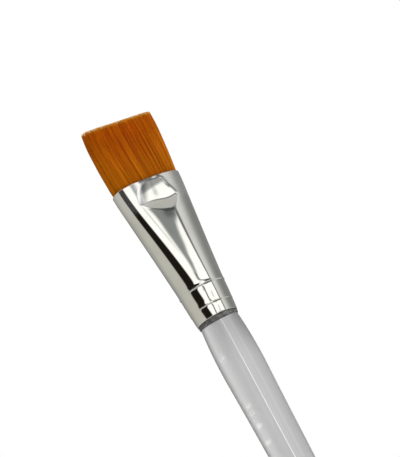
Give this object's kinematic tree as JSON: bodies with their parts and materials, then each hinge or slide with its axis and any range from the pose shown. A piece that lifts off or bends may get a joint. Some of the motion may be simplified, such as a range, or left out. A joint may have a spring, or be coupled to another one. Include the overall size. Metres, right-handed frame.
{
  "type": "paint brush",
  "caption": "Flat wash paint brush with a clear tapered handle, a plated metal ferrule pressed from round to flat, and a square-edged tuft of golden synthetic filament that flexes.",
  "frame": {"origin": "centre of the handle's rounded butt end", "axes": "+Z along the brush's axis towards the tip of the filaments; +X along the width of the flat; the front face looks along -Y"},
  "size_m": [0.0198, 0.0118, 0.1995],
  "materials": {
    "clear_acrylic": "gloss",
    "plated_sheet": "polished",
    "dark_adhesive": "satin",
    "amber_resin": "satin",
    "golden_filament": "satin"
  },
  "bodies": {
    "brush_body": {"handle": "clear_acrylic", "ferrule": "plated_sheet", "handle_adhesive": "dark_adhesive", "setting_resin": "amber_resin", "filament_roots": "golden_filament"},
    "tuft": {"filament_tuft": "golden_filament"}
  },
  "joints": [
    {"name": "tuft_flex", "type": "hinge", "parent": "brush_body", "child": "tuft", "pos_m": [0, 0, 0.18355], "axis": [1, 0, 0], "range_deg": [-40, 40], "stiffness_Nm_per_rad": 0.008}
  ]
}
